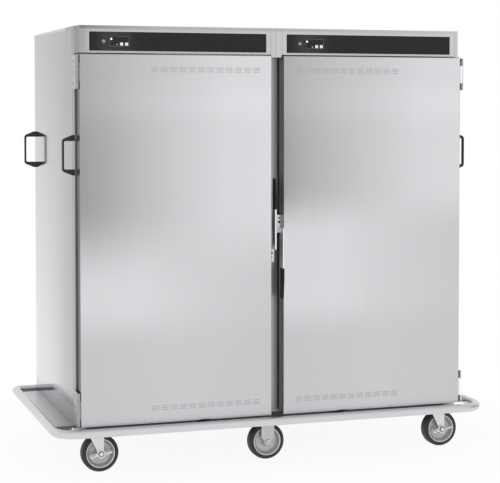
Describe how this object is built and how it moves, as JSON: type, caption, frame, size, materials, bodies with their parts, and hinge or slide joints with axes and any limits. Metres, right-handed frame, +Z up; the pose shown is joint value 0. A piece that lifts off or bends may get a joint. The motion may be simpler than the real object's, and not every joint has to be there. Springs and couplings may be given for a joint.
{
  "type": "food holding cabinet",
  "caption": "Two-door heated holding cabinet on swivel and rigid casters, with a tube bumper ring, side push handles, edge latches and a control strip above each door.",
  "frame": {"origin": "on the floor, at the centre of the bumper ring's footprint", "axes": "+X to the cabinet's right as seen from the front, -Y to the front (the doors face -Y), +Z up"},
  "size_m": [1.872, 1.048, 1.8],
  "materials": {
    "brushed_stainless": "vertical brushed",
    "liner_stainless": "satin",
    "bumper_stainless": "satin",
    "frame_paint": "satin black",
    "zinc_plate": "bright zinc",
    "chrome": "polished",
    "wire_chrome": "bright wire",
    "black_nylon": "fine grain",
    "black_gloss": "gloss",
    "controller_black": "semi gloss",
    "key_white": "satin",
    "gasket_rubber": "matte",
    "glass_wool": "fibrous",
    "cable_jacket": "satin",
    "core_grey": "satin",
    "tyre_black": "matte",
    "fastener_steel": "bright"
  },
  "bodies": {
    "cabinet": {"base_frame": "frame_paint", "bumper_rail": "bumper_stainless", "bumper_plates": "bumper_stainless", "side_panels": "brushed_stainless", "top_panel": "brushed_stainless", "back_panel": "brushed_stainless", "face_frame": "brushed_stainless", "cavity_liners": "liner_stainless", "cabinet_insulation": "glass_wool", "heater_cables": "cable_jacket", "shelf_uprights": "liner_stainless", "wire_shelves": "wire_chrome", "fascia_housing": "brushed_stainless", "control_overlays": "black_gloss", "controller_modules": "controller_black", "push_handles": "black_nylon", "frame_hinges_and_strikes": "chrome", "caster_mounts": "zinc_plate", "fasteners": "fastener_steel", "power_inlet": "black_nylon"},
    "door_left": {"door_skin_left": "brushed_stainless", "door_liner_left": "liner_stainless", "door_insulation_left": "glass_wool", "door_gasket_left": "gasket_rubber", "hinge_door_leaves_left": "chrome", "latch_base_left": "chrome"},
    "latch_left": {"latch_lever_left": "chrome", "latch_grip_left": "black_nylon"},
    "door_right": {"door_skin_right": "brushed_stainless", "door_liner_right": "liner_stainless", "door_insulation_right": "glass_wool", "door_gasket_right": "gasket_rubber", "hinge_door_leaves_right": "chrome", "latch_base_right": "chrome"},
    "latch_right": {"latch_lever_right": "chrome", "latch_grip_right": "black_nylon"},
    "swivel_front_left": {"caster_fork_front_left": "zinc_plate"},
    "swivel_front_right": {"caster_fork_front_right": "zinc_plate"},
    "swivel_rear_left": {"caster_fork_rear_left": "zinc_plate"},
    "swivel_rear_right": {"caster_fork_rear_right": "zinc_plate"},
    "wheel_front_left": {"wheel_core_front_left": "core_grey", "tyre_front_left": "tyre_black"},
    "wheel_front_right": {"wheel_core_front_right": "core_grey", "tyre_front_right": "tyre_black"},
    "wheel_rear_left": {"wheel_core_rear_left": "core_grey", "tyre_rear_left": "tyre_black"},
    "wheel_rear_right": {"wheel_core_rear_right": "core_grey", "tyre_rear_right": "tyre_black"},
    "wheel_front_middle": {"wheel_core_front_middle": "core_grey", "tyre_front_middle": "tyre_black"},
    "wheel_rear_middle": {"wheel_core_rear_middle": "core_grey", "tyre_rear_middle": "tyre_black"},
    "brake_front_left": {"brake_lever_front_left": "zinc_plate"},
    "brake_front_right": {"brake_lever_front_right": "zinc_plate"},
    "key_power_left": {"key_power_left": "key_white"},
    "key_down_left": {"key_down_left": "key_white"},
    "key_up_left": {"key_up_left": "key_white"},
    "key_power_right": {"key_power_right": "key_white"},
    "key_down_right": {"key_down_right": "key_white"},
    "key_up_right": {"key_up_right": "key_white"}
  },
  "joints": [
    {"name": "door_left_swing", "type": "hinge", "parent": "cabinet", "child": "door_left", "pos_m": [-0.8285, -0.469, 0.95], "axis": [0, 0, -1], "range_deg": [0, 180]},
    {"name": "latch_left_pull", "type": "hinge", "parent": "door_left", "child": "latch_left", "pos_m": [-0.0118, -0.458, 0.905], "axis": [1, 0, 0], "range_deg": [0, 30], "stiffness_Nm_per_rad": 1.2, "springref_deg": -8.59},
    {"name": "door_right_swing", "type": "hinge", "parent": "cabinet", "child": "door_right", "pos_m": [0.8285, -0.469, 0.95], "axis": [0, 0, 1], "range_deg": [0, 180]},
    {"name": "latch_right_pull", "type": "hinge", "parent": "door_right", "child": "latch_right", "pos_m": [0.0215, -0.458, 0.975], "axis": [-1, 0, 0], "range_deg": [0, 30], "stiffness_Nm_per_rad": 1.2, "springref_deg": -8.59},
    {"name": "swivel_front_left_turn", "type": "hinge", "parent": "cabinet", "child": "swivel_front_left", "pos_m": [-0.757, -0.318, 0.172], "axis": [0, 0, 1], "continuous": true},
    {"name": "swivel_front_right_turn", "type": "hinge", "parent": "cabinet", "child": "swivel_front_right", "pos_m": [0.757, -0.318, 0.172], "axis": [0, 0, 1], "continuous": true},
    {"name": "swivel_rear_left_turn", "type": "hinge", "parent": "cabinet", "child": "swivel_rear_left", "pos_m": [-0.757, 0.398, 0.172], "axis": [0, 0, 1], "continuous": true},
    {"name": "swivel_rear_right_turn", "type": "hinge", "parent": "cabinet", "child": "swivel_rear_right", "pos_m": [0.757, 0.398, 0.172], "axis": [0, 0, 1], "continuous": true},
    {"name": "wheel_front_left_spin", "type": "hinge", "parent": "swivel_front_left", "child": "wheel_front_left", "pos_m": [-0.713, -0.318, 0.0762], "axis": [0, 1, 0], "continuous": true},
    {"name": "wheel_front_right_spin", "type": "hinge", "parent": "swivel_front_right", "child": "wheel_front_right", "pos_m": [0.801, -0.318, 0.0762], "axis": [0, 1, 0], "continuous": true},
    {"name": "wheel_rear_left_spin", "type": "hinge", "parent": "swivel_rear_left", "child": "wheel_rear_left", "pos_m": [-0.713, 0.398, 0.0762], "axis": [0, 1, 0], "continuous": true},
    {"name": "wheel_rear_right_spin", "type": "hinge", "parent": "swivel_rear_right", "child": "wheel_rear_right", "pos_m": [0.801, 0.398, 0.0762], "axis": [0, 1, 0], "continuous": true},
    {"name": "wheel_front_middle_spin", "type": "hinge", "parent": "cabinet", "child": "wheel_front_middle", "pos_m": [0, -0.318, 0.0762], "axis": [0, 1, 0], "continuous": true},
    {"name": "wheel_rear_middle_spin", "type": "hinge", "parent": "cabinet", "child": "wheel_rear_middle", "pos_m": [0, 0.398, 0.0762], "axis": [0, 1, 0], "continuous": true},
    {"name": "brake_front_left_rock", "type": "hinge", "parent": "swivel_front_left", "child": "brake_front_left", "pos_m": [-0.713, -0.354, 0.0762], "axis": [0, 1, 0], "range_deg": [0, 24]},
    {"name": "brake_front_right_rock", "type": "hinge", "parent": "swivel_front_right", "child": "brake_front_right", "pos_m": [0.801, -0.354, 0.0762], "axis": [0, 1, 0], "range_deg": [0, 24]},
    {"name": "key_power_left_press", "type": "slide", "parent": "cabinet", "child": "key_power_left", "axis": [0, 1, 0], "range_m": [0, 0.0008], "stiffness_N_per_m": 400},
    {"name": "key_down_left_press", "type": "slide", "parent": "cabinet", "child": "key_down_left", "axis": [0, 1, 0], "range_m": [0, 0.0008], "stiffness_N_per_m": 400},
    {"name": "key_up_left_press", "type": "slide", "parent": "cabinet", "child": "key_up_left", "axis": [0, 1, 0], "range_m": [0, 0.0008], "stiffness_N_per_m": 400},
    {"name": "key_power_right_press", "type": "slide", "parent": "cabinet", "child": "key_power_right", "axis": [0, 1, 0], "range_m": [0, 0.0008], "stiffness_N_per_m": 400},
    {"name": "key_down_right_press", "type": "slide", "parent": "cabinet", "child": "key_down_right", "axis": [0, 1, 0], "range_m": [0, 0.0008], "stiffness_N_per_m": 400},
    {"name": "key_up_right_press", "type": "slide", "parent": "cabinet", "child": "key_up_right", "axis": [0, 1, 0], "range_m": [0, 0.0008], "stiffness_N_per_m": 400}
  ]
}
